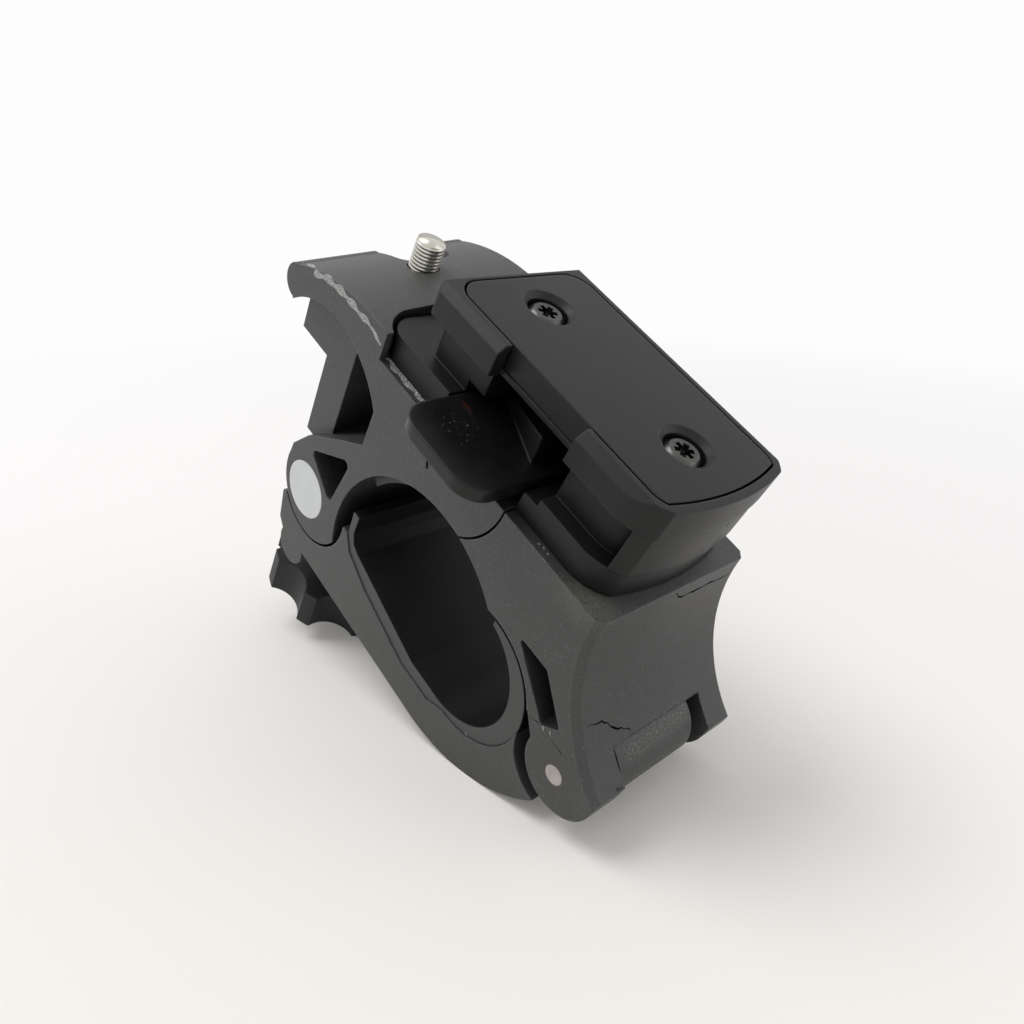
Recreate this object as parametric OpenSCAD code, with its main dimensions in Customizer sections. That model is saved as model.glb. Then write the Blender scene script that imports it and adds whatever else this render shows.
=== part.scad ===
// Handlebar mount for a bicycle light: a two-piece body with a hinged jaw,
// a swing bolt with a lobed hand knob, and a slide base with a spring latch.
// X runs towards the hinge, Y along the handlebar, Z up to the slide base.
// The origin lies on the axis of the bar seat, halfway along the body.

/* [Bar seat] */
// diameter of the handlebar
bar_d = 31.8; // [31.0:0.1:32.2]
// thickness of the upper rubber liner
liner_t = 1.3; // [1.1:0.1:1.5]

/* [Body] */
// width of the body along the bar
body_w = 26.2; // [25.4:0.2:28]
// height of the flat that carries the slide base
deck_z = 25.4; // [25:0.1:25.8]
// thickness of each side cheek at the arch
cheek_t = 2.2; // [1.6:0.1:3]
// gap at the seam between the two body halves
seam_gap = 0.3; // [0.2:0.05:0.5]
// rise of the arch from the front cheek to the back one
arch_rise = 2.6; // [0:0.2:3]

/* [Hinge] */
// distance of the hinge pin from the bar axis along X
hinge_x = 28.8; // [28.4:0.1:29.2]
// height of the hinge pin above the bar axis
hinge_z = 4.7; // [4.5:0.1:4.9]
// diameter of the hinge pin
hinge_pin_d = 2.5; // [2:0.1:3]
// radius of the knuckle on the jaw
knuckle_r = 5.3; // [5:0.1:5.3]
// width of each fork lobe on the body
fork_t = 5.0; // [4.4:0.1:5.6]
// width of the open gap left beside the knuckle
fork_gap = 2.5; // [0.6:0.1:3]

/* [Swing bolt and knob] */
// diameter of the pivot barrel
barrel_d = 8.7; // [8.2:0.1:9]
// diameter of the bolt thread
bolt_d = 5.0; // [4:0.5:5]
// distance from the barrel axis to the washer's face
washer_reach = 15.25; // [15.2:0.05:15.6]
// outer diameter of the knob over its lobes
knob_d = 24.6; // [22:0.2:26]
// number of lobes on the knob
knob_lobes = 8; // [5:1:10]
// height of the lobed wheel
wheel_h = 7.2; // [6:0.2:9]
// height of the collar above the wheel
collar_h = 3.4; // [3:0.1:4]
// length of thread left below the knob
bolt_tail = 5.0; // [3:0.5:5.5]

/* [Slide base] */
// width of the block below the slide grooves
block_w = 23.2; // [22.6:0.2:23.6]
// height of the block above the deck
block_h = 3.7; // [3.5:0.1:4]
// height of the slide grooves
groove_h = 5.8; // [5.4:0.1:6.4]
// width of the neck between the grooves
neck_w = 18.6; // [18:0.2:19]
// height of the frame above the grooves
frame_h = 3.9; // [3.8:0.1:4.4]
// width of the cover plate
cover_w = 19.4; // [19:0.2:20]
// thickness of the cover plate
cover_t = 3.2; // [3:0.1:3.3]
// width of the groove round the cover plate
cover_gap = 0.3; // [0.2:0.05:0.4]

/* [Fasteners] */
// thread diameter of the accessory stud
stud_d = 4.0; // [3:0.5:4]
// height of the stud above the arch
stud_proud = 3.8; // [3:0.2:6]
// diameter of the cover screw heads
screw_head_d = 4.9; // [4.5:0.1:5.1]
// thread diameter of the cover screws
screw_d = 2.5; // [2:0.5:2.5]

/* [Latch] */
// width of the latch tab
tab_w = 14.0; // [12:0.5:14]
// thickness of the latch tab
tab_t = 1.6; // [1.4:0.1:1.8]
// distance that the tab stands out from the front cheek
tab_out = 6.0; // [4:0.5:7]
// diameter of the latch pivot pin
latch_pin_d = 2.0; // [1.5:0.1:2.2]
// wire diameter of the latch spring
wire_d = 0.5; // [0.4:0.05:0.6]

/* [Hidden] */
$fn = 96;
eps = 0.02;
far = 60;
run = 0.05;                 // radial clearance of a running fit
half_w = body_w / 2;
bar_r = bar_d / 2;
seat_r = bar_r + liner_t;

// body halves: centres and radii of the arcs in the side view
arch_c = [-22, -6.1];
arch_r = 35.2;
nose_c = [-38.1, 22.7];
nose_r = 2.35;
hollow_c = [-28, 9.9];      // the open hollow on the left
hollow_r = 14.3;
wall_x = -16.8;             // left face of the wall beside the seat
ear_c = [-23.1, -2.2];
ear_r = 7.5;
seam_c = [-3.5, 25];
seam_r = 10.25;
flank_c = [44.2, 26.3];     // concave outer side of the hinge arm
flank_r = 21.3;
flank_bevel = 0.9;
lobe_c = [hinge_x + 0.5, hinge_z + 0.6];
lobe_r = 5.3;
step_x = -18.8;
rib_x = -24;

// hinge fork
knuckle_y0 = -half_w + fork_t + 0.2;
knuckle_y1 = half_w - fork_t - fork_gap;
knuckle_clear = 0.2;
knuckle_seam = 3.7;
jaw_relief = 0.4 + norm(lobe_c - [hinge_x, hinge_z]) + lobe_r;

// jaw and its liner
pad_c = [12.5, 3.0];
pad_r = 9.85;
pad_in_c = [10.3, 3.0];
pad_in_r = 9.35;
pad_gap = 0.55;
jaw_arc_c = [8, 10];
jaw_arc_r = 23.9;
jaw_floor = jaw_arc_c[1] - jaw_arc_r;
bead_r = 3.05;
bead_c = [-24.6, -15.2];

// swing bolt
bolt_x = -25;
bolt_z = -3.3;
slot_w = bolt_d + 0.8;
washer_t = 0.8;
washer_r = 6.2;
washer_z = bolt_z - washer_reach;
nut_h = 4.0;
nut_af = 8.0;
collar_r = 7.0;
knob_top = washer_z - washer_t;
wheel_top = knob_top - collar_h;
knob_bottom = wheel_top - wheel_h;
lobe_scallop_r = 4.6;
valley_r = knob_d / 2 - 2.3;
lobe_phase = -17;

// slide base levels
block_top = deck_z + block_h;
frame_z = block_top + groove_h;
frame_top = frame_z + frame_h;
frame_w = block_w + 0.2;
block_x0 = -21.3;
frame_x0 = -15.4;
end_arc_c = -14.3;
end_arc_r = 36.4;
end_wall_x = 19;
base_corner_r = 3.5;
base_gap = 0.7;
near_corner_r = 6;
cover_x0 = frame_x0 + 0.7;
cover_x1 = 20.8;
cover_z = frame_top - cover_t;
cover_corner_r = 3.0;
lip_gap = [-3.9, 9.0];
screw_x = [-9.05, 14.24];
screw_sink = 0.6;
head_h = 1.5;
head_seat_z = frame_top - screw_sink - head_h;
seat_dish_d = 6.6;
head_gap = 0.2;
insert_d = 4.2;
insert_h = 6.0;
screw_tip = deck_z - 5;

// latch
tab_x = [-7.6, -7.6 + tab_w];
tab_top = block_top;
tab_y = -half_w - tab_out;
latch_slot = 0.4;
latch_pin_y = 7.4;
latch_pin_z = block_top - 0.9;
latch_eye_r = 2.0;
latch_rise = latch_eye_r + latch_pin_z - block_top + latch_slot;
wedge_x = [-4.7, 4.2];
wedge_z = [30.4, 32.5];     // top of the ramp at its far and near ends
wedge_y = [-5.3, -9.0];     // front of the wedge at its far and near ends
wedge_back = -4.8;
spring_y = -4;
spring_r = 1.6;
spring_turns = 4;
spring_z = deck_z - 3;

// stud
stud_x = -30.5;
stud_base_z = 30.3;
stud_top = 29.5 + stud_proud;
stud_tip_h = 0.3;
stud_core_d = stud_d - 0.7;
stud_nut_z = 19.8;
stud_nut_h = 3.2;
stud_nut_af = 7.0;
hook_z = 16;
web_x = [-31, -25.4];
hook_x = -37.4;
tip_notch_y = 2.9;
tip_notch_w = 8.0;

grey = [0.33, 0.33, 0.33];
black = [0.16, 0.16, 0.17];
rubber_black = [0.09, 0.09, 0.09];
steel = [0.72, 0.72, 0.72];
white = [0.88, 0.92, 0.93];

// Helpers

// Extrudes a side view (X and Z) along Y.
module slab(y0, y1) {
    translate([0, y1, 0])
        rotate([90, 0, 0])
            linear_extrude(y1 - y0) children();
}

// A cylinder along Y about the side-view point c.
module rod_y(c, r, y0, y1) {
    slab(y0, y1)
        translate(c) circle(r);
}

// A cone along Y about the side-view point c, from r0 at y0 to r1 at y1.
module cone_y(c, r0, r1, y0, y1) {
    translate([c[0], y0, c[1]])
        rotate([-90, 0, 0])
            cylinder(r1 = r0, r2 = r1, h = y1 - y0);
}

// A convex outline with true round corners; points run anticlockwise.
module rounded(p, r) {
    n = len(p);
    legs = [for (i = [0:n - 1])
        let (u = p[(i + n - 1) % n] - p[i], v = p[(i + 1) % n] - p[i])
        [u / norm(u), v / norm(v)]];
    half = [for (l = legs) acos(l[0] * l[1]) / 2];
    touch = [for (i = [0:n - 1]) for (k = [0, 1]) p[i] + legs[i][k] * r / tan(half[i])];
    polygon(touch);
    for (i = [0:n - 1])
        translate(p[i] + (legs[i][0] + legs[i][1]) / norm(legs[i][0] + legs[i][1]) * r / sin(half[i]))
            circle(r);
}

function box_corners(x0, x1, y0, y1) = [[x0, y0], [x1, y0], [x1, y1], [x0, y1]];

module hex(af) {
    circle(r = af / sqrt(3), $fn = 6);
}

// Body half beside the knob

module hollow_2d() {
    intersection() {
        translate(hollow_c) circle(hollow_r);
        translate([-far, -far]) square([far + wall_x, 2 * far]);
    }
}

// The arch seen from the side; it is extruded along a slightly rising line.
module arch_2d() {
    difference() {
        union() {
            intersection() {
                translate(arch_c) circle(arch_r);
                translate([nose_c[0], hollow_c[1]]) square([step_x - nose_c[0], far]);
            }
            translate(nose_c) circle(nose_r);
        }
        hollow_2d();
    }
}

module seat_wall_2d() {
    difference() {
        union() {
            translate([wall_x, 0]) square([seam_c[0] - wall_x, deck_z]);
            intersection() {
                translate(seam_c) circle(seam_r - seam_gap / 2);
                translate([seam_c[0] - eps, 0]) square([far, deck_z]);
            }
        }
        circle(seat_r);
    }
}

module ear_2d() {
    difference() {
        union() {
            translate(ear_c) circle(ear_r);
            polygon([[ear_c[0] - ear_r, ear_c[1]], [-30.2, 1.2], [-27.4, 5.2], [-21, 10.2],
                [wall_x, 13.2], [-12.4, 13.2], [wall_x, 0], ear_c]);
        }
        circle(seat_r);
        rounded([[-19.4, -0.5], [-17.7, 9.3], [-26.1, 3.7]], 0.8);
    }
}

// Hooks and wall between the cheeks, which leave a square channel open to the left.
module web_2d() {
    translate([web_x[0], 3]) square([web_x[1] - web_x[0], 21]);
    translate([hook_x, hook_z]) square([web_x[0] - hook_x + eps, 8]);
}

module arch() {
    tilt = atan(arch_rise / body_w);
    intersection() {
        translate([arch_c[0], -half_w, arch_c[1]])
            rotate([tilt, 0, 0])
                translate([-arch_c[0], half_w, -arch_c[1]])
                    slab(-half_w - 4, half_w + 4) arch_2d();
        translate([-far, -half_w, 0]) cube([2 * far, body_w, far]);
    }
}

module upper_body() color(grey) difference() {
    union() {
        arch();
        slab(-half_w, half_w) {
            seat_wall_2d();
            ear_2d();
            // joins the arch to the wall above the hollow
            intersection() {
                translate([rib_x, hollow_c[1]]) square([wall_x - rib_x + 2, deck_z - hollow_c[1]]);
                difference() {
                    translate(arch_c) circle(arch_r);
                    hollow_2d();
                    circle(seat_r);
                }
            }
        }
        slab(-half_w + cheek_t, half_w - cheek_t) web_2d();
    }
    // hollow right through both cheeks where the tilted arch dips into it
    slab(-far, -half_w + cheek_t) hollow_cut_2d();
    slab(half_w - cheek_t, far) hollow_cut_2d();
    // recess for the slide base
    translate([0, 0, deck_z])
        linear_extrude(far)
            rounded(box_corners(block_x0 - base_gap, far, -block_w / 2 - base_gap, block_w / 2 + base_gap),
                base_corner_r + base_gap);
    translate([step_x, -far, deck_z]) cube([far, 2 * far, far]);
    // bore for the barrel and the slot that the bolt swings in
    rod_y([bolt_x, bolt_z], barrel_d / 2 + run, -far, far);
    slab(-slot_w / 2, slot_w / 2) {
        translate([-far, -far]) square([far + bolt_x + slot_w / 2, far + bolt_z + slot_w / 2]);
        translate([bolt_x, bolt_z]) circle(barrel_d / 2 + run);
    }
    // seat of the accessory stud and the slot that holds its nut
    translate([stud_x, 0, hook_z]) cylinder(d = stud_d + 0.2, h = far);
    translate([stud_x, 0, stud_nut_z]) {
        linear_extrude(stud_nut_h + 0.1) hex(stud_nut_af + 0.1);
        translate([0, -stud_nut_af / 2 - 0.05, 0])
            cube([web_x[1] - stud_x + 1, stud_nut_af + 0.1, stud_nut_h + 0.1]);
    }
    // notch in the tip of the arch
    translate([0, tip_notch_y, hook_z - 1])
        linear_extrude(far)
            rounded(box_corners(-far, -32.2, -tip_notch_w / 2, tip_notch_w / 2), 2.5);
    // pockets for the insert and the latch spring
    translate([screw_x[0], 0, deck_z - insert_h]) cylinder(d = insert_d, h = far);
    translate([0, spring_y, spring_z]) cylinder(r = spring_r + wire_d / 2 + 0.25, h = far);
}

// The hollow below the arch, kept clear of the ear's strut.
module hollow_cut_2d() {
    difference() {
        hollow_2d();
        ear_2d();
        translate([-far, -far]) square([2 * far, far]);
        polygon([[-30.2, 1.2], [-27.4, 5.2], [-21, 10.2], [wall_x, 13.2], [wall_x, 0], [-30.2, 0]]);
    }
}

// Body half with the hinge

module hinge_arm_2d() {
    difference() {
        union() {
            polygon([[seam_c[0], 12], [21.9, 7.9], [24.4, 5], [lobe_c[0], 5], [lobe_c[0] + lobe_r, lobe_c[1]],
                [lobe_c[0] + lobe_r, deck_z], [seam_c[0], deck_z]]);
            translate(lobe_c) circle(lobe_r);
        }
        circle(seat_r);
        translate(pad_c) circle(pad_r + pad_gap);
        translate(flank_c) circle(flank_r);
        translate(seam_c) circle(seam_r + seam_gap / 2);
        rounded([[24.1, 8.3], [26.2, 10.3], [21, 15], [15.8, 14.9]], 0.4);
    }
}

module hinge_arm() color(grey) difference() {
    slab(-half_w, half_w) hinge_arm_2d();
    // bevel along the edges of the outer side
    cone_y(flank_c, flank_r + flank_bevel, flank_r, -half_w - eps, -half_w + flank_bevel);
    cone_y(flank_c, flank_r, flank_r + flank_bevel, half_w - flank_bevel, half_w + eps);
    // room for the knuckle between the fork lobes
    rod_y([hinge_x, hinge_z], knuckle_r + knuckle_clear, -half_w + fork_t, half_w - fork_t);
    slab(-half_w + fork_t, half_w - fork_t)
        translate([hinge_x, -far]) square([far, far + hinge_z + knuckle_seam]);
    rod_y([hinge_x, hinge_z], hinge_pin_d / 2, -far, far);
    translate([screw_x[1], 0, deck_z - insert_h]) cylinder(d = insert_d, h = far);
}

// Jaw

module pad_outer_2d() {
    translate(pad_c) circle(pad_r);
    polygon([[-14.4, 3], [-14.1, -1.2], [-12.6, -3.4], [-7.2, -5.8], [3.6, -8.6], [9.6, -8.4],
        [pad_c[0], pad_c[1] - pad_r], pad_c]);
}

module jaw_side_2d() {
    difference() {
        union() {
            polygon([[-29.7, -8], [-28.9, -13], [-27.4, -14.4], [-21.9, jaw_floor],
                [jaw_arc_c[0], jaw_floor], [jaw_arc_c[0], -1], [-15.8, -1]]);
            translate(bead_c) circle(bead_r);
            intersection() {
                translate(jaw_arc_c) circle(jaw_arc_r);
                translate([jaw_arc_c[0] - eps, -20]) square([23, 23.4]);
            }
        }
        pad_outer_2d();
        translate(ear_c) circle(ear_r + 0.4);
    }
}

module lower_jaw() color(grey) difference() {
    union() {
        difference() {
            slab(-half_w, half_w) jaw_side_2d();
            rod_y([hinge_x, hinge_z], jaw_relief, -far, far);
        }
        slab(knuckle_y0, knuckle_y1) {
            jaw_side_2d();
            translate([hinge_x, hinge_z]) circle(knuckle_r);
        }
    }
    rod_y([hinge_x, hinge_z], hinge_pin_d / 2 + run, -far, far);
    // slot for the swing bolt, open at the end
    translate([bolt_x, 0, -far]) {
        cylinder(d = slot_w, h = far);
        translate([-far, -slot_w / 2, 0]) cube([far, slot_w, far]);
    }
}

// Rubber liners

module upper_liner() color(rubber_black)
    slab(-half_w + 2, half_w - 2)
        intersection() {
            difference() {
                circle(seat_r);
                circle(bar_r);
            }
            polygon([[0, 0], 30 * [cos(50), sin(50)], [0, 30], 30 * [cos(150), sin(150)]]);
        }

module jaw_liner() color(rubber_black)
    slab(-half_w + 0.2, half_w - 0.2)
        difference() {
            pad_outer_2d();
            translate(pad_in_c) circle(pad_in_r);
            polygon([[-13.1, far], [-13.1, 0], [-12.4, -1.6], [-11, -2.3], [4.8, -6.4], [pad_in_c[0], -6.3],
                pad_in_c, [12.4, pad_in_c[1]], [12.4, far]]);
        }

// Hinge and swing bolt

module hinge_pin() color(steel)
    rod_y([hinge_x, hinge_z], hinge_pin_d / 2, -half_w, half_w);

module pivot_barrel() color(white) difference() {
    rod_y([bolt_x, bolt_z], barrel_d / 2, -half_w, half_w);
    translate([bolt_x, 0, bolt_z - barrel_d]) cylinder(d = bolt_d, h = barrel_d + 2);
}

module swing_bolt() color(steel)
    translate([bolt_x, 0, knob_bottom - bolt_tail])
        cylinder(d = bolt_d, h = bolt_z + 2 - knob_bottom + bolt_tail);

module thrust_washer() color(steel)
    translate([bolt_x, 0, washer_z - washer_t]) difference() {
        cylinder(r = washer_r, h = washer_t);
        translate([0, 0, -1]) cylinder(d = bolt_d + 2 * run, h = washer_t + 2);
    }

module clamp_knob() color(black)
    translate([bolt_x, 0, 0]) difference() {
        union() {
            translate([0, 0, wheel_top - eps]) cylinder(r = collar_r, h = collar_h + eps);
            translate([0, 0, knob_bottom])
                linear_extrude(wheel_h)
                    difference() {
                        circle(knob_d / 2);
                        for (i = [0:knob_lobes - 1])
                            rotate(lobe_phase + (i + 0.5) * 360 / knob_lobes)
                                translate([valley_r + lobe_scallop_r, 0]) circle(lobe_scallop_r);
                    }
        }
        // pocket of the nut from the top, and the open tube below it
        translate([0, 0, knob_top - nut_h]) linear_extrude(far) hex(nut_af);
        translate([0, 0, -far]) cylinder(d = bolt_d + 1, h = far);
    }

module knob_nut() color(steel)
    translate([bolt_x, 0, knob_top - nut_h])
        linear_extrude(nut_h)
            difference() {
                hex(nut_af);
                circle(bolt_d / 2 + run);
            }

// Accessory stud

module stud() color(steel)
    translate([stud_x, 0, 0]) {
        translate([0, 0, stud_nut_z - 1]) cylinder(d = stud_core_d, h = stud_base_z - stud_nut_z + 1 + eps);
        translate([0, 0, stud_base_z]) cylinder(d = stud_d, h = stud_top - stud_base_z - stud_tip_h);
        translate([0, 0, stud_top - stud_tip_h])
            cylinder(d1 = stud_d, d2 = stud_d - 2 * stud_tip_h, h = stud_tip_h);
    }

module stud_nut() color(steel)
    translate([stud_x, 0, stud_nut_z])
        linear_extrude(stud_nut_h)
            difference() {
                hex(stud_nut_af);
                circle(d = stud_core_d);
            }

// Slide base

module end_arc_2d(inset) {
    translate([end_arc_c, 0]) circle(end_arc_r - inset);
}

module base_outline_2d(x0, w, inset, corner) {
    intersection() {
        rounded(box_corners(x0, far, -w / 2, w / 2), corner);
        rounded(box_corners(x0 - far, end_arc_c + end_arc_r - inset, -w / 2, w / 2), near_corner_r);
        end_arc_2d(inset);
    }
}

module cover_2d(grow) {
    intersection() {
        rounded(box_corners(cover_x0 - grow, cover_x1 + grow, -cover_w / 2 - grow, cover_w / 2 + grow),
            cover_corner_r + grow);
        end_arc_2d(end_arc_c + end_arc_r - cover_x1 - grow);
    }
}

module slide_base() color(black) difference() {
    union() {
        translate([0, 0, deck_z]) linear_extrude(block_h) base_outline_2d(block_x0, block_w, 0.5, base_corner_r);
        translate([0, 0, block_top - eps]) linear_extrude(groove_h + 2 * eps) {
            base_outline_2d(frame_x0 + 0.6, neck_w, 1, 1);
            intersection() {
                base_outline_2d(frame_x0, frame_w, 0.2, 1);
                translate([end_wall_x, -far]) square([far, 2 * far]);
            }
        }
        translate([0, 0, frame_z]) linear_extrude(frame_h) base_outline_2d(frame_x0, frame_w, 0, 1);
    }
    // bevel along the upper edges of the lips
    for (s = [-1, 1])
        translate([-far, s * frame_w / 2, frame_top - 1])
            rotate([-s * 45, 0, 0])
                translate([0, s > 0 ? -3 : 0, 0])
                    cube([2 * far, 3, 3]);
    // recess of the cover plate
    translate([0, 0, cover_z]) linear_extrude(far) cover_2d(cover_gap);
    // gap in the front lip, where the latch wedge comes up
    translate([lip_gap[0], -far, block_top])
        cube([lip_gap[1] - lip_gap[0], far - cover_w / 2 - cover_gap / 2, far]);
    translate([wedge_x[0] - latch_slot, -far, block_top - 1])
        cube([lip_gap[1] - wedge_x[0] + latch_slot, far + wedge_back + latch_slot, frame_z - block_top + 1]);
    // channel of the latch arm
    translate([tab_x[0] - latch_slot, -far, deck_z - 1])
        cube([tab_w + 2 * latch_slot, far + latch_pin_y + latch_eye_r + latch_slot, block_h + 1 + latch_rise]);
    // bore of the latch pin
    translate([tab_x[0] - 2, latch_pin_y, latch_pin_z])
        rotate([0, 90, 0]) cylinder(d = latch_pin_d, h = tab_w + 4);
    for (x = screw_x)
        translate([x, 0, 0]) cylinder(d = screw_d + 0.4, h = far);
}

module cover_plate() color(black) difference() {
    translate([0, 0, cover_z]) linear_extrude(cover_t) cover_2d(0);
    for (x = screw_x) translate([x, 0, 0]) {
        cylinder(d = screw_d + 0.4, h = far);
        translate([0, 0, head_seat_z]) cylinder(d = screw_head_d + head_gap, h = far);
        translate([0, 0, frame_top - screw_sink])
            cylinder(d1 = screw_head_d + head_gap, d2 = seat_dish_d, h = screw_sink + eps);
    }
}

module cover_screw(x) {
    translate([x, 0, 0]) difference() {
        union() {
            translate([0, 0, screw_tip]) cylinder(d = screw_d, h = head_seat_z - screw_tip + eps);
            translate([0, 0, head_seat_z]) cylinder(d = screw_head_d, h = head_h * 0.55);
            translate([0, 0, head_seat_z + head_h * 0.55])
                cylinder(d1 = screw_head_d, d2 = screw_head_d * 0.72, h = head_h * 0.45);
        }
        // six-lobed driver recess
        for (a = [0, 60, 120])
            rotate(a)
                translate([-screw_head_d * 0.25, -screw_head_d * 0.07, head_seat_z + head_h * 0.35])
                    cube([screw_head_d * 0.5, screw_head_d * 0.14, head_h]);
    }
}

module cover_screw_far() color(steel) cover_screw(screw_x[0]);

module cover_screw_near() color(steel) cover_screw(screw_x[1]);

module insert(x) {
    translate([x, 0, deck_z - insert_h]) difference() {
        cylinder(d = insert_d, h = insert_h);
        translate([0, 0, -1]) cylinder(d = screw_d, h = insert_h + 2);
    }
}

module insert_far() color([0.75, 0.6, 0.3]) insert(screw_x[0]);

module insert_near() color([0.75, 0.6, 0.3]) insert(screw_x[1]);

// Latch

module latch() color(black) difference() {
    union() {
        // arm and tab in one strip
        translate([0, 0, tab_top - tab_t])
            linear_extrude(tab_t)
                rounded(box_corners(tab_x[0], tab_x[1], tab_y, latch_pin_y), 3.5);
        translate([tab_x[0], latch_pin_y, latch_pin_z])
            rotate([0, 90, 0]) cylinder(r = latch_eye_r, h = tab_w);
        // ramped wedge that holds the accessory's rail
        intersection() {
            slab(wedge_y[1], wedge_back)
                polygon([[wedge_x[0], tab_top - eps], [wedge_x[1], tab_top - eps],
                    [wedge_x[1] - 0.4, wedge_z[1]], [wedge_x[0], wedge_z[0]]]);
            translate([0, 0, tab_top - 2 * eps])
                linear_extrude(wedge_z[1] - tab_top + 1)
                    polygon([[wedge_x[0] - eps, wedge_y[0]], [wedge_x[1], wedge_y[1]],
                        [wedge_x[1] + eps, wedge_back], [wedge_x[0] - eps, wedge_back]]);
        }
    }
    translate([tab_x[0] - 1, latch_pin_y, latch_pin_z])
        rotate([0, 90, 0]) cylinder(d = latch_pin_d + 2 * run, h = tab_w + 2);
}

module latch_pin() color(steel)
    translate([tab_x[0] - 2, latch_pin_y, latch_pin_z])
        rotate([0, 90, 0]) cylinder(d = latch_pin_d, h = tab_w + 4);

// Coil spring: round wire swept along a helix with closed end turns.
module latch_spring() color(steel) {
    rings = 24 * spring_turns;
    sides = 8;
    span = tab_top - tab_t - spring_z - wire_d;
    ring = [for (k = [0:rings]) [for (j = [0:sides - 1])
        let (a = k * 360 / 24, t = k / rings, b = j * 360 / sides,
            rr = spring_r + wire_d / 2 * cos(b))
        [rr * cos(a), rr * sin(a), wire_d / 2 + span * t + wire_d / 2 * sin(b)]]];
    points = [for (r = ring) each r];
    walls = [for (k = [0:rings - 1]) for (j = [0:sides - 1])
        let (n = (j + 1) % sides)
        [k * sides + j, k * sides + n, (k + 1) * sides + n, (k + 1) * sides + j]];
    translate([0, spring_y, spring_z])
        polyhedron(points, concat(walls, [[for (j = [sides - 1:-1:0]) j]],
            [[for (j = [0:sides - 1]) rings * sides + j]]));
}

upper_body();
hinge_arm();
lower_jaw();
upper_liner();
jaw_liner();
hinge_pin();
pivot_barrel();
swing_bolt();
thrust_washer();
clamp_knob();
knob_nut();
stud();
stud_nut();
slide_base();
cover_plate();
cover_screw_far();
cover_screw_near();
insert_far();
insert_near();
latch();
latch_pin();
latch_spring();
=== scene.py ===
"""Bicycle light handlebar mount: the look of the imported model, lit and framed as in the photo."""
import math
import bpy
from mathutils import Matrix, Vector
from mathutils.bvhtree import BVHTree


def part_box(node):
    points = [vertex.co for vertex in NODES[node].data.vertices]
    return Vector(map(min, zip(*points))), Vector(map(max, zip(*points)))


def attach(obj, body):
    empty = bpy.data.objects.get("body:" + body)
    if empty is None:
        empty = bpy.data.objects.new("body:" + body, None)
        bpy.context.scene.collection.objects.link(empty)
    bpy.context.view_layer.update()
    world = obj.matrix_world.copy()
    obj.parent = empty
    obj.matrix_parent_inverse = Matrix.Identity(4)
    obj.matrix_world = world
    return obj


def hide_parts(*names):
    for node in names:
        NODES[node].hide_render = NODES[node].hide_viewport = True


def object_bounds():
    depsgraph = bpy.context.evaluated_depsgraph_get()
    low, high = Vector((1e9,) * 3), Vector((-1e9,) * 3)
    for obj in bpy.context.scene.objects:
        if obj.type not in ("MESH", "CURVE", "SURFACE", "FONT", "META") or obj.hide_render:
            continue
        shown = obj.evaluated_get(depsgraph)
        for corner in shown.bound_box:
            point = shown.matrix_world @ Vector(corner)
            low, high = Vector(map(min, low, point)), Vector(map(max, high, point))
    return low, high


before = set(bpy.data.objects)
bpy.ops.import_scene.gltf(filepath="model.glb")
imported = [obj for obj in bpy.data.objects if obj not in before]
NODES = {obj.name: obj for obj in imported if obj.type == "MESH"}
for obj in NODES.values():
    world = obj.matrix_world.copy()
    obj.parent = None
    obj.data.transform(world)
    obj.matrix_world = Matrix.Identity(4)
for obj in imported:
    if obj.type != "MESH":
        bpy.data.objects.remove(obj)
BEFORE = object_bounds()
MM = 0.001

# Threads, in millimetres
STUD_R, STUD_PITCH = 2.0, 0.5
BOLT_R, BOLT_PITCH = 2.5, 0.8
THREAD_SIDES, ROWS_PER_PITCH = 48, 10
GROOVE_DEPTH, END_TAPER = 0.24, 0.25    # shares of the pitch

# Wear, in millimetres
EDGE_R = 0.28               # softness of a moulded edge
CRACK_STEP = 0.5            # length of one stretch of a crack
CRACK_WOBBLE = 0.12         # how far a crack strays to each side
CRACK_LIFT = 0.006          # height of a crack above its surface
BURR_POINTS = 7             # corners of a burr's fan
BURR_ROOT = 0.1             # depth of a burr's foot below its surface
BURR_THICK = 0.08
BOX_MARGIN = 0.1            # a burr stays this far inside the CAD box
SPECK_SIZE = 0.16           # pale specks on the slide base's ledge

# Places of single marks on the model, in millimetres
HINGE_PATCH = ((31.6, -5.5, 8.6), (31.2, 4.5, 8.9))
OLIVE_DUST = (19.6, -12.2, 25.4)
GATE_LINE = ((22.1, 1.5, 35.0), (21.6, 3.0, 27.0))
GATE_BLOT = (21.7, 3.1, 25.9)
LATCH_MARKS = (-3.4, -13.4, 29.1)
LATCH_RED = (-5.6, -10.8, 29.1)
LINER_NICK = ((17.0, -12.9, -5.4), (17.6, -12.9, -6.2))

# Camera, found from the photo
CAM_AT = Vector((0.04232, -0.06938, 0.08298))
CAM_RIGHT = Vector((0.58501, 0.72582, 0.36186))
CAM_UP = Vector((-0.70616, 0.23642, 0.66741))
CAM_FORWARD = Vector((-0.39887, 0.64598, -0.65086))
LENS, SENSOR, PICTURE = 29.18, 36.0, 1024
PIXELS_PER_UNIT = LENS / SENSOR * PICTURE
NEAR_CLIP = 0.005

# Surface that the object stands on: a slope in its own frame
FLOOR_TILT = math.radians(30.4)
FLOOR_N = Vector((-math.sin(FLOOR_TILT), 0, math.cos(FLOOR_TILT)))
FLOOR_HALF = 1.2
FLOOR_FADE = (110, 360)     # mm from the origin: all there, all gone
FLOOR_COOL, FLOOR_WARM = (0.82, 0.805, 0.8), (0.82, 0.795, 0.745)
FLOOR_WARM_SPOT = (90, -60, -40)
FLOOR_GLOW, FLOOR_GLOW_COLOR = 0.07, (1, 0.985, 0.97, 1)

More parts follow.
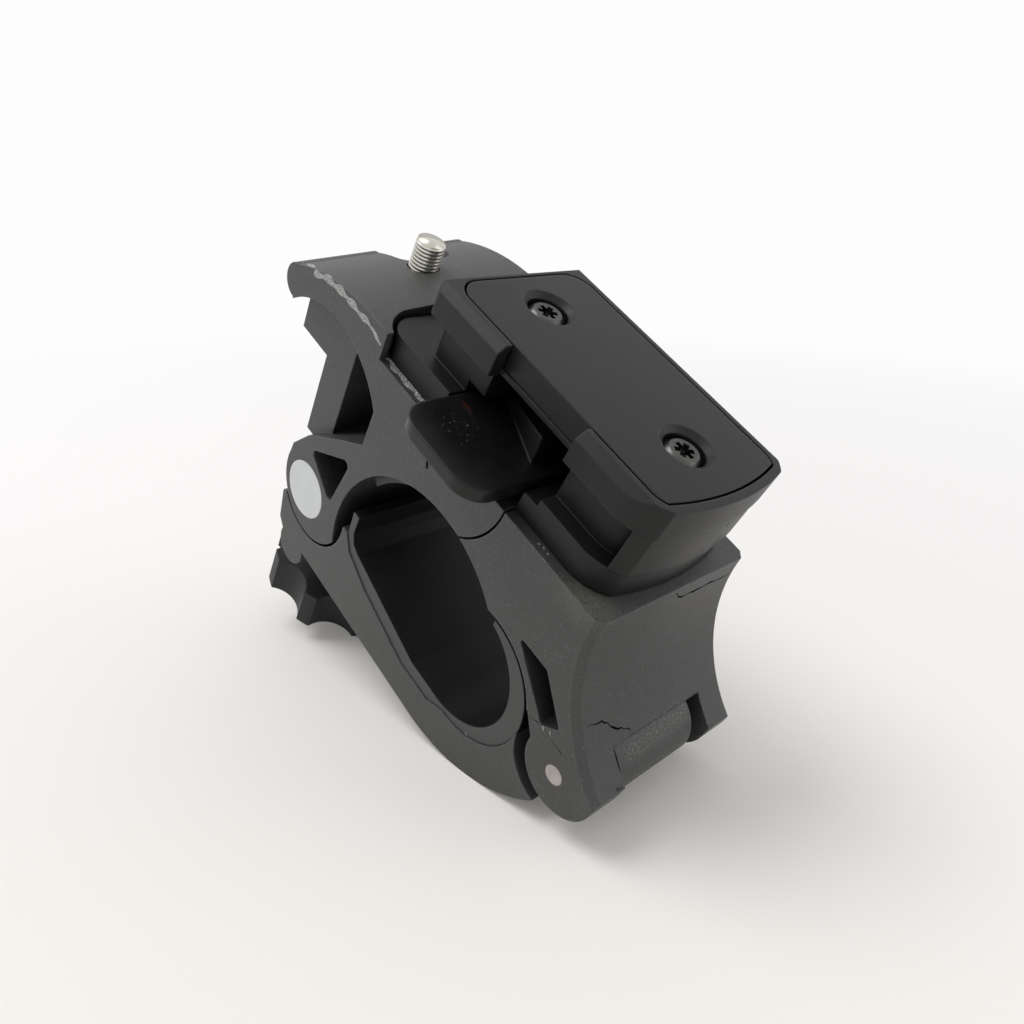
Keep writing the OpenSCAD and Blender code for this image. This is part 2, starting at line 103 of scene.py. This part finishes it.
WORLD_SEEN = 0.985          # level of the background
WORLD_LIGHT = 0.66          # strength of the light from all around

BEVEL_SAMPLES, AO_SAMPLES = 6, 8
# colour of the painted shade in recesses
RECESS_SHADE = (0.001, 0.001, 0.001)
WARM_WHITE = (1.0, 0.99, 0.95)


# ---------------------------------------------------------------- materials

class Shader:
    """A Principled material that is built up step by step."""

    def __init__(self, name, rough=0.5, metallic=0.0):
        self.mat = bpy.data.materials.new(name)
        self.mat.use_nodes = True
        self.tree = self.mat.node_tree
        self.bsdf = self.tree.nodes["Principled BSDF"]
        self.bsdf.inputs["Roughness"].default_value = rough
        self.bsdf.inputs["Metallic"].default_value = metallic
        self.coords = self.node("TexCoord").outputs["Object"]
        self.normal = None

    def node(self, kind):
        return self.tree.nodes.new("ShaderNode" + kind)

    def put(self, socket, value):
        """Set a socket to a number or a colour, or link another socket to it."""
        if isinstance(value, (int, float)):
            socket.default_value = value
        elif isinstance(value, tuple):
            socket.default_value = value if len(value) == 4 else (*value, 1)
        else:
            self.tree.links.new(value, socket)

    def math(self, op, a, b=0.0, clamp=False):
        n = self.node("Math")
        n.operation, n.use_clamp = op, clamp
        self.put(n.inputs[0], a)
        self.put(n.inputs[1], b)
        return n.outputs[0]

    def times(self, *factors):
        """The product of sockets and numbers."""
        product = factors[0]
        for factor in factors[1:]:
            product = self.math("MULTIPLY", product, factor)
        return product

    def scaled(self, value, gain, offset):
        """value * gain + offset."""
        return self.math("ADD", self.times(value, gain), offset)

    def vector(self, op, a, b=None):
        """A vector operation on sockets or Vectors."""
        n = self.node("VectorMath")
        n.operation = op
        for socket, value in zip(n.inputs, (a, b)):
            if isinstance(value, Vector):
                socket.default_value = value
            elif value is not None:
                self.tree.links.new(value, socket)
        return n

    def noise(self, size_mm, detail=4.0, rough=0.55):
        """Noise of 0 to 1 with features of about size_mm."""
        n = self.node("TexNoise")
        n.inputs["Scale"].default_value = 1000.0 / size_mm
        n.inputs["Detail"].default_value = detail
        n.inputs["Roughness"].default_value = rough
        self.put(n.inputs["Vector"], self.coords)
        return n.outputs["Fac"]

    def ramp(self, value, lo, hi, least=0.0):
        """least where value is lo, going to 1 where it is hi."""
        n = self.node("MapRange")
        n.inputs["From Min"].default_value = lo
        n.inputs["From Max"].default_value = hi
        n.inputs["To Min"].default_value = least
        self.put(n.inputs["Value"], value)
        return n.outputs["Result"]

    def near(self, point, inner, outer, stretch=(1, 1, 1)):
        """1 within inner mm of a point, falling to 0 at outer mm; stretch widens an axis."""
        off = self.vector("SUBTRACT", self.coords, Vector([v * MM for v in point]))
        off = self.vector("MULTIPLY", off.outputs[0], Vector([1 / s for s in stretch]))
        size = self.vector("LENGTH", off.outputs[0])
        return self.ramp(size.outputs["Value"], outer * MM, inner * MM)

    def line(self, ends, inner, outer):
        """1 within inner mm of the line between two points (mm), falling to 0 at outer mm."""
        a, b = (Vector(end) * MM for end in ends)
        d = b - a
        off = self.vector("SUBTRACT", self.coords, a).outputs[0]
        share = self.vector("DOT_PRODUCT", off, d / d.length_squared).outputs["Value"]
        along = self.vector("SCALE", d)
        self.put(along.inputs["Scale"], self.math("MULTIPLY", share, 1.0, clamp=True))
        away = self.vector("DISTANCE", off, along.outputs[0])
        return self.ramp(away.outputs["Value"], outer * MM, inner * MM)

    def mix(self, fac, a, b):
        n = self.node("Mix")
        n.data_type = "RGBA"
        self.put(n.inputs["Factor"], fac)
        self.put(n.inputs["A"], a)
        self.put(n.inputs["B"], b)
        return n.outputs["Result"]

    def bevel(self, radius_mm):
        n = self.node("Bevel")
        n.samples = BEVEL_SAMPLES
        n.inputs["Radius"].default_value = radius_mm * MM
        return n.outputs["Normal"]

    def soft_edges(self, radius_mm):
        self.normal = self.bevel(radius_mm)

    def edge_mask(self, radius_mm):
        """About 1 where the surface turns within radius_mm."""
        facing = self.node("NewGeometry").outputs["Normal"]
        turn = self.vector("DOT_PRODUCT", facing, self.bevel(radius_mm))
        return self.ramp(turn.outputs["Value"], 0.995, 0.85)

    def painted_recess_shade(self, color, reach_mm=9.0, least=0.3):
        """Paint shade into a colour in deep recesses, darker where the surroundings within reach_mm close
        in.
        """
        n = self.node("AmbientOcclusion")
        n.samples = AO_SAMPLES
        n.inputs["Distance"].default_value = reach_mm * MM
        return self.mix(self.ramp(n.outputs["AO"], 0.15, 0.75, least), RECESS_SHADE, color)

    def bump(self, height, depth_mm):
        """Add relief on top of what the normal already has."""
        n = self.node("Bump")
        n.inputs["Strength"].default_value = 1.0
        n.inputs["Distance"].default_value = depth_mm * MM
        self.put(n.inputs["Height"], height)
        if self.normal is not None:
            self.put(n.inputs["Normal"], self.normal)
        self.normal = n.outputs["Normal"]

    def done(self, color, rough=None, specular=None):
        """Connect the colour, roughness and normal, and give the material."""
        self.put(self.bsdf.inputs["Base Color"], color)
        if rough is not None:
            self.put(self.bsdf.inputs["Roughness"], rough)
        if specular is not None:
            self.bsdf.inputs["Specular IOR Level"].default_value = specular
        if self.normal is not None:
            self.put(self.bsdf.inputs["Normal"], self.normal)
        return self.mat


def grey(value, tint=(1.0, 1.0, 1.0)):
    """Linear colour from an sRGB level of 0 to 255."""
    v = min(255, value) / 255
    lin = v / 12.92 if v <= 0.04045 else ((v + 0.055) / 1.055) ** 2.4
    return tuple(lin * t for t in tint)


def moulded(name, level, rough, grain_mm, grain_depth, edge_wear_and_highlight, dust):
    """Grained moulded plastic with blotches and fine dust, edges painted lighter (a painted highlight,
    with some rubbed wear) and painted shade in the recesses.
    """
    s = Shader(name)
    s.soft_edges(EDGE_R)
    s.bump(s.noise(grain_mm, 3.0, 0.7), grain_depth)
    blotch = s.noise(7.0, 5.0, 0.6)
    base = s.mix(s.ramp(blotch, 0.3, 0.7), grey(level * 0.93), grey(level * 1.06))
    specks = s.ramp(s.noise(0.3, 2.0, 0.8), 0.6, 0.72)
    base = s.mix(s.times(specks, dust), base, grey(level * 2.2))
    # edges painted lighter: a painted highlight, with some rubbed wear, broken up by noise
    rubbed = s.ramp(s.noise(0.8, 4.0, 0.7), 0.35, 0.75)
    edge = s.times(s.edge_mask(EDGE_R), rubbed, edge_wear_and_highlight)
    base = s.mix(edge, base, grey(level * 2.1))
    # the colour is returned with painted shade in its recesses
    return s, s.painted_recess_shade(base), s.scaled(blotch, 0.16, rough - 0.08)


def body_material():
    s, base, rough = moulded("body_plastic", 55, 0.42, grain_mm=0.2, grain_depth=0.09,
                             edge_wear_and_highlight=1.0, dust=0.4)
    # sandy rubbed patch over the hinge
    sand = s.ramp(s.noise(0.22, 2.0, 0.8), 0.52, 0.66)
    patch = s.times(s.line(HINGE_PATCH, 0.2, 1.9), sand, 0.7)
    base = s.mix(patch, base, grey(150, (1.0, 0.97, 0.86)))
    # olive dust below the near end of the slide base
    grains = s.ramp(s.noise(0.25, 3.0, 0.8), 0.4, 0.6)
    dust = s.times(s.near(OLIVE_DUST, 0.8, 4.2, (1.0, 1.0, 0.8)), grains, 0.6)
    base = s.mix(dust, base, grey(96, (1.0, 1.02, 0.72)))
    return s.done(base, rough, 0.48)


def base_material():
    s, base, rough = moulded("base_plastic", 27, 0.42, grain_mm=0.2, grain_depth=0.02,
                             edge_wear_and_highlight=1.0, dust=0.15)
    # pale line and blemish where the tool was gated, on the near end
    base = s.mix(s.times(s.line(GATE_LINE, 0.03, 0.16), 0.55), base, grey(120))
    stain = s.ramp(s.noise(0.3, 3.0, 0.9), 0.4, 0.6)
    blot = s.times(s.near(GATE_BLOT, 0.2, 0.9, (1, 1.3, 0.5)), stain)
    return s.done(s.mix(blot, base, grey(25)), rough, 0.24)


def knob_material():
    s, base, rough = moulded("knob_plastic", 42, 0.5, grain_mm=0.3, grain_depth=0.02,
                             edge_wear_and_highlight=0.3, dust=0.1)
    return s.done(base, rough, 0.2)


def latch_material():
    s = Shader("latch_plastic")
    s.soft_edges(0.4)
    s.bump(s.noise(3.0, 3.0), 0.01)
    smear = s.noise(5.0, 5.0, 0.65)
    fine = s.ramp(s.noise(0.5, 3.0, 0.9), 0.62, 0.7)
    marks = s.times(fine, s.near(LATCH_MARKS, 0.8, 3.8, (1.2, 1.0, 1.0)))
    base = s.mix(marks, grey(16), grey(120))
    red = s.times(s.near(LATCH_RED, 0.1, 0.8, (1.6, 0.5, 1)), 0.3)
    base = s.mix(red, base, (0.13, 0.03, 0.02))
    return s.done(base, s.scaled(smear, 0.3, 0.16), 0.3)


def rubber_material():
    """Dark rubber, paler where it faces the front (-Y): painted light on those faces."""
    s = Shader("liner_rubber")
    s.soft_edges(0.35)
    s.bump(s.noise(0.5, 3.0), 0.012)
    blotch = s.noise(6.0, 5.0)
    split = s.node("SeparateXYZ")
    s.put(split.inputs[0], s.node("NewGeometry").outputs["Normal"])
    # painted light: faces turned to the front (-Y) are paler
    front_facing_lit = s.ramp(split.outputs["Y"], -0.45, -0.85)
    base = s.mix(front_facing_lit, s.mix(blotch, grey(10), grey(18)), s.mix(blotch, grey(68), grey(80)))
    base = s.mix(s.times(s.line(LINER_NICK, 0.05, 0.2), 0.8), base, grey(150))
    # the liner gets painted shade in its recesses
    return s.done(s.painted_recess_shade(base, 14.0, 0.1), s.scaled(blotch, 0.2, 0.42), 0.22)


def barrel_material():
    s = Shader("barrel_plastic")
    s.soft_edges(0.2)
    s.bump(s.noise(0.4, 3.0), 0.006)
    haze = s.noise(3.0, 4.0)
    cool = (0.97, 1.0, 1.01)
    return s.done(s.mix(haze, grey(196, cool), grey(214, cool)), s.scaled(haze, 0.2, 0.3))


def metal(name, level, rough, tint=(1.0, 0.99, 0.96)):
    s = Shader(name, metallic=1.0)
    s.soft_edges(0.15)
    brushed = s.noise(0.25, 3.0, 0.7)
    s.bump(brushed, 0.004)
    blotch = s.ramp(s.noise(2.0, 4.0), 0.3, 0.7)
    base = s.mix(blotch, grey(level * 0.88, tint), grey(level, tint))
    return s.done(base, s.scaled(brushed, 0.2, rough - 0.1))


def broken(name, level, tint=(1, 1, 1), rough=0.8, specular=None):
    """Raw plastic where the surface is cracked or torn."""
    s = Shader(name)
    grain = s.noise(0.3, 3.0, 0.8)
    s.bump(grain, 0.01)
    base = s.mix(grain, grey(level * 0.8, tint), grey(level * 1.2, tint))
    return s.done(base, s.scaled(grain, 0.2, rough - 0.1), specular)


def rubbed_glint_material():
    """Body plastic with pale grains along an edge: partly rubbed wear, partly a painted highlight of
    glitter.
    """
    s = Shader("rubbed_glint_plastic")
    grains = s.noise(0.16, 2.0, 0.8)
    s.bump(grains, 0.05)
    base = s.mix(s.ramp(grains, 0.44, 0.6), grey(70), grey(205, (1.0, 0.99, 0.97)))
    return s.done(base, s.scaled(grains, 0.2, 0.35))


BODY = body_material()
BASE = base_material()
LATCH = latch_material()
RUBBER = rubber_material()
STEEL = metal("steel", 205, 0.32)
STUD_STEEL = metal("stud_steel", 214, 0.3, (1.0, 0.97, 0.87))
PIN = metal("pin_steel", 190, 0.45, (1.0, 0.93, 0.9))
BLACK_STEEL = metal("black_steel", 88, 0.34)
BRASS = metal("brass", 200, 0.35, (1.0, 0.8, 0.45))
BARREL = barrel_material()
KNOB = knob_material()
DARK = broken("crack_dark", 3, rough=0.95, specular=0.05)
CHIP = broken("chip_light", 150, WARM_WHITE)
BURR = broken("burr_plastic", 60)
RUBBED_AND_GLINT = rubbed_glint_material()

FINISH = {
    "upper_body": BODY, "hinge_arm": BODY, "lower_jaw": BODY,
    "upper_liner": RUBBER, "jaw_liner": RUBBER,
    "hinge_pin": PIN, "pivot_barrel": BARREL, "swing_bolt": STEEL,
    "thrust_washer": STEEL, "clamp_knob": KNOB, "knob_nut": STEEL,
    "stud": STUD_STEEL, "stud_nut": STEEL,
    "slide_base": BASE, "cover_plate": BASE,
    "cover_screw_far": BLACK_STEEL, "cover_screw_near": BLACK_STEEL,
    "insert_far": BRASS, "insert_near": BRASS,
    "latch": LATCH, "latch_pin": STEEL, "latch_spring": STEEL,
}
for name, mat in FINISH.items():
    mesh = NODES[name].data
    mesh.materials.clear()
    mesh.materials.append(mat)


# ---------------------------------------------------------------- threads

def new_object(name, verts, faces, mat, body, smooth=True):
    """A mesh piece in metres that rides on a body."""
    mesh = bpy.data.meshes.new(name)
    mesh.from_pydata([Vector(v) for v in verts], [], faces)
    mesh.materials.append(mat)
    obj = bpy.data.objects.new(name, mesh)
    bpy.context.scene.collection.objects.link(obj)
    if smooth:
        mesh.polygons.foreach_set("use_smooth", [True] * len(mesh.polygons))
    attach(obj, body)
    return obj


def box_mm(node):
    """A node's lowest and highest corners, in mm."""
    lo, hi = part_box(node)
    return Vector(lo) / MM, Vector(hi) / MM


def threaded_rod(name, node, radius, pitch, mat, body):
    """A rod along Z with a rolled thread, on the axis of a CAD node and as long."""
    lo, hi = box_mm(node)
    cx, cy, z0, z1 = (lo.x + hi.x) / 2, (lo.y + hi.y) / 2, lo.z, hi.z
    rows = int((z1 - z0) / pitch * ROWS_PER_PITCH)
    verts, faces = [], []
    for i in range(rows + 1):
        z = z0 + (z1 - z0) * i / rows
        near_end = 1 - min(1.0, (z1 - z) / pitch, (z - z0) / pitch)
        for j in range(THREAD_SIDES):
            turn = j / THREAD_SIDES
            phase = (z / pitch - turn) % 1.0
            groove = GROOVE_DEPTH * pitch * (1 - abs(2 * phase - 1)) ** 0.8
            r = radius - groove - END_TAPER * pitch * near_end
            a = 2 * math.pi * turn
            verts.append(((cx + r * math.cos(a)) * MM, (cy + r * math.sin(a)) * MM, z * MM))
    for i in range(rows):
        low, high = i * THREAD_SIDES, (i + 1) * THREAD_SIDES
        for j in range(THREAD_SIDES):
            k = (j + 1) % THREAD_SIDES
            faces.append((low + j, low + k, high + k, high + j))
    faces.append(tuple(reversed(range(THREAD_SIDES))))
    faces.append(tuple(rows * THREAD_SIDES + j for j in range(THREAD_SIDES)))
    return new_object(name, verts, faces, mat, body)


stud = threaded_rod("stud_thread", "stud", STUD_R, STUD_PITCH, STUD_STEEL, "frame")
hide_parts("stud")
bolt = threaded_rod("bolt_thread", "swing_bolt", BOLT_R, BOLT_PITCH, STEEL, "bolt")
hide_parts("swing_bolt")


# ---------------------------------------------------------------- cracks and burrs

def surface(node):
    """A search tree of a node's faces, in the scene's frame."""
    obj = NODES[node]
    mesh = obj.data
    return BVHTree.FromPolygons([obj.matrix_world @ v.co for v in mesh.vertices],
                                [tuple(p.vertices) for p in mesh.polygons])


TREES = {n: surface(n) for n in ("upper_body", "hinge_arm", "slide_base")}


def pixel_ray(u, v):
    """Direction from the camera through a point of the photo."""
    across = CAM_RIGHT * (u - PICTURE / 2) - CAM_UP * (v - PICTURE / 2)
    return (CAM_FORWARD * PIXELS_PER_UNIT + across).normalized()


def on_surface(node, pixels):
    """Points in mm where the photo's pixels meet a node."""
    hits = [TREES[node].ray_cast(CAM_AT, pixel_ray(u, v))[0] for u, v in pixels]
    return [tuple(spot / MM) for spot in hits if spot is not None]


def crack_path(node, points):
    """Spots and normals of a node's surface along a wavering line through points in mm."""
    path = []
    stretches = len(points) - 1
    for k in range(stretches):
        a, b = Vector(points[k]), Vector(points[k + 1])
        steps = max(2, int((b - a).length / CRACK_STEP))
        last = k == stretches - 1
        for i in range(steps + last):
            t = i / steps
            wobble = CRACK_WOBBLE * math.sin(7.3 * (k + t) + 3 * k) if i else 0.0
            p = a.lerp(b, t) + Vector((0, wobble, wobble))
            path.append(TREES[node].find_nearest(p * MM)[:2])
    return path


def crack(name, node, points, width, mat):
    """A thin ragged line pressed onto a node's surface through points in mm."""
    path = crack_path(node, points)
    end = len(path) - 1
    verts = []
    for i, (spot, normal) in enumerate(path):
        ahead = path[min(i + 1, end)][0] - path[max(i - 1, 0)][0]
        side = normal.cross(ahead).normalized()
        # thin towards both ends, and uneven in between
        taper = math.sin(math.pi * (0.12 + 0.8 * i / len(path))) * (0.7 + 0.3 * math.sin(5.1 * i))
        half = side * width * 0.5 * MM * max(0.25, taper)
        lift = normal * CRACK_LIFT * MM
        verts += [spot + half + lift, spot - half + lift]
    faces = [(2 * i, 2 * i + 1, 2 * i + 3, 2 * i + 2) for i in range(end)]
    return new_object(name, verts, faces, mat, "frame")


def burr(name, node, at, size, mat):
    """A torn flake: a small twisted fan that stands off the surface."""
    spot, normal, _, _ = TREES[node].find_nearest(Vector(at) * MM)
    t = normal.orthogonal().normalized()
    b = normal.cross(t)
    verts = [spot - normal * BURR_ROOT * MM]
    for i in range(BURR_POINTS):
        a = 2 * math.pi * i / BURR_POINTS
        # uneven corners, so that no two flakes look alike
        reach = size * (0.55 + 0.45 * math.sin(2.3 * i + size * 9))
        height = (0.12 + 0.2 * math.sin(3.7 * i) ** 2) * size
        verts.append(spot + (t * math.cos(a) + b * math.sin(a)) * reach * MM + normal * height * MM)
    faces = [(0, 1 + i, 1 + (i + 1) % BURR_POINTS) for i in range(BURR_POINTS)]
    lo, hi = (Vector(v) for v in BEFORE)
    margin = BOX_MARGIN * MM
    verts = [Vector(min(max(v[k], lo[k] + margin), hi[k] - margin) for k in range(3)) for v in verts]
    obj = new_object(name, verts, faces, mat, "frame", smooth=False)
    obj.modifiers.new("thick", "SOLIDIFY").thickness = BURR_THICK * MM
    return obj


# Name, node, width in mm, material, and the points of the picture where the photo shows it
LINES = [
    ("crack_flank", "hinge_arm", 0.3, DARK, [(587, 727), (602, 721), (612, 727), (624, 729), (637, 730)]),
    ("crack_below_base", "hinge_arm", 0.36, DARK,
     [(675, 594), (682, 597), (691, 592), (700, 588), (728, 574)]),
    ("crack_lobe", "hinge_arm", 0.14, DARK, [(550, 738), (556, 747), (562, 755)]),
    ("crack_window", "hinge_arm", 0.14, DARK, [(528, 715), (534, 720), (540, 725)]),
    ("mould_line", "slide_base", 0.12, DARK, [(737, 513), (726, 528), (716, 545), (708, 560)]),
    ("front_slot", "upper_body", 0.5, DARK, [(425, 453), (427, 460), (427, 468)]),
    ("seam_chip", "upper_body", 0.4, DARK, [(455, 533), (463, 539), (472, 540)]),
    # the two rubbed strips are pale grains: partly wear, partly a painted highlight along the edge
    ("rubbed_glint_strip", "upper_body", 1.7, RUBBED_AND_GLINT, [(387, 358), (401, 374), (415, 391), (428, 405)]),
    ("rubbed_glint_arch_edge", "upper_body", 1.3, RUBBED_AND_GLINT,
     [(303, 262), (330, 280), (352, 303), (370, 326), (383, 348)]),
]
for name, node, width, mat, pixels in LINES:
    points = on_surface(node, pixels)
    if len(points) > 1:
        crack(name, node, points, width, mat)

# Point of the picture, size in mm and material
FLANK_BURRS = [
    ((711, 728), 0.7, BURR), ((703, 735), 0.8, BURR), ((620, 790), 0.6, BURR),
    ((543, 728), 0.3, CHIP), ((550, 733), 0.35, CHIP),
    ((539, 544), 0.14, CHIP), ((544, 548), 0.16, CHIP), ((548, 554), 0.12, CHIP),
]
LEDGE_SPECKS = [((508, 404), SPECK_SIZE, CHIP), ((528, 460), SPECK_SIZE, CHIP)]
for prefix, node, marks in (("burr", "hinge_arm", FLANK_BURRS), ("speck", "slide_base", LEDGE_SPECKS)):
    for k, (pixel, size, mat) in enumerate(marks):
        for spot in on_surface(node, [pixel]):
            burr(f"{prefix}_{k}", node, spot, size, mat)


# ---------------------------------------------------------------- floor, light and camera

def place(obj, right, up, forward, at):
    """Link an object to the scene, turned and moved to a place."""
    m = Matrix((right, up, -forward)).transposed().to_4x4()
    m.translation = at
    obj.matrix_world = m
    bpy.context.scene.collection.objects.link(obj)


def lowest_along(normal):
    """Least height of the object's CAD points along a direction."""
    return min((obj.matrix_world @ v.co).dot(normal) for obj in NODES.values() for v in obj.data.vertices)


def floor_material():
    """Matt white, a little warmer on the right, that fades out with distance."""
    s = Shader("floor_white", rough=0.9)
    warm_side = s.near(FLOOR_WARM_SPOT, 20, 190)
    mat = s.done(s.mix(warm_side, FLOOR_COOL, FLOOR_WARM), 0.9, 0.05)
    s.put(s.bsdf.inputs["Emission Color"], FLOOR_GLOW_COLOR)
    s.put(s.bsdf.inputs["Emission Strength"], FLOOR_GLOW)
    # seen from below, the floor lets the view through
    below = s.node("NewGeometry").outputs["Backfacing"]
    far_off = s.ramp(s.near((0, 0, 0), *FLOOR_FADE), 1.0, 0.0)
    mixer = s.node("MixShader")
    s.put(mixer.inputs["Fac"], s.math("MAXIMUM", below, far_off))
    s.put(mixer.inputs[1], s.bsdf.outputs[0])
    s.put(mixer.inputs[2], s.node("BsdfTransparent").outputs[0])
    s.put(s.tree.nodes["Material Output"].inputs["Surface"], mixer.outputs[0])
    return mat


def area_light(name, toward, distance, size, power):
    """A disc light in metres and watts, aimed at the origin from the direction toward."""
    data = bpy.data.lights.new(name, "AREA")
    data.shape, data.size, data.energy = "DISK", size, power
    obj = bpy.data.objects.new(name, data)
    toward = toward.normalized()
    right = toward.orthogonal().normalized()
    place(obj, right, toward.cross(right), -toward, toward * distance)
    return obj


def light_world():
    """Soft light from all around; the camera, gloss and glass see a white background."""
    world = bpy.context.scene.world or bpy.data.worlds.new("world")
    bpy.context.scene.world = world
    world.use_nodes = True
    nodes, links = world.node_tree.nodes, world.node_tree.links
    nodes.clear()
    rays = nodes.new("ShaderNodeLightPath").outputs
    seen = nodes.new("ShaderNodeBackground")
    seen.inputs["Color"].default_value = (WORLD_SEEN, WORLD_SEEN, WORLD_SEEN, 1)
    lit = nodes.new("ShaderNodeBackground")
    lit.inputs["Color"].default_value = (1, 1, 1, 1)
    lit.inputs["Strength"].default_value = WORLD_LIGHT
    direct = rays["Is Camera Ray"]
    for ray in ("Is Glossy Ray", "Is Transmission Ray"):
        either = nodes.new("ShaderNodeMath")
        either.operation = "MAXIMUM"
        links.new(direct, either.inputs[0])
        links.new(rays[ray], either.inputs[1])
        direct = either.outputs[0]
    choose = nodes.new("ShaderNodeMixShader")
    links.new(direct, choose.inputs["Fac"])
    links.new(lit.outputs[0], choose.inputs[1])
    links.new(seen.outputs[0], choose.inputs[2])
    links.new(choose.outputs[0], nodes.new("ShaderNodeOutputWorld").inputs["Surface"])


along = Vector((math.cos(FLOOR_TILT), 0, math.sin(FLOOR_TILT)))
across = Vector((0, 1, 0))
centre = FLOOR_N * lowest_along(FLOOR_N)
corners = [centre + along * (sx * FLOOR_HALF) + across * (sy * FLOOR_HALF)
           for sx, sy in ((-1, -1), (1, -1), (1, 1), (-1, 1))]
floor_mesh = bpy.data.meshes.new("floor")
floor_mesh.from_pydata(corners, [], [(0, 1, 2, 3)])
floor_mesh.materials.append(floor_material())
floor = bpy.data.objects.new("floor", floor_mesh)
bpy.context.scene.collection.objects.link(floor)

KEY = area_light("key", CAM_UP * 0.8 - CAM_RIGHT * 0.4 - CAM_FORWARD * 0.3,
                 distance=0.8, size=0.5, power=3.0)
FILL = area_light("fill", CAM_UP * 0.2 + CAM_RIGHT * 0.9 - CAM_FORWARD * 0.2,
                  distance=0.5, size=0.4, power=0.32)
light_world()

cam_data = bpy.data.cameras.new("camera")
cam_data.lens, cam_data.sensor_width = LENS, SENSOR
cam_data.clip_start = NEAR_CLIP
camera = bpy.data.objects.new("camera", cam_data)
place(camera, CAM_RIGHT, CAM_UP, CAM_FORWARD, CAM_AT)
bpy.context.scene.camera = camera
bpy.context.scene.view_settings.view_transform = "Standard"
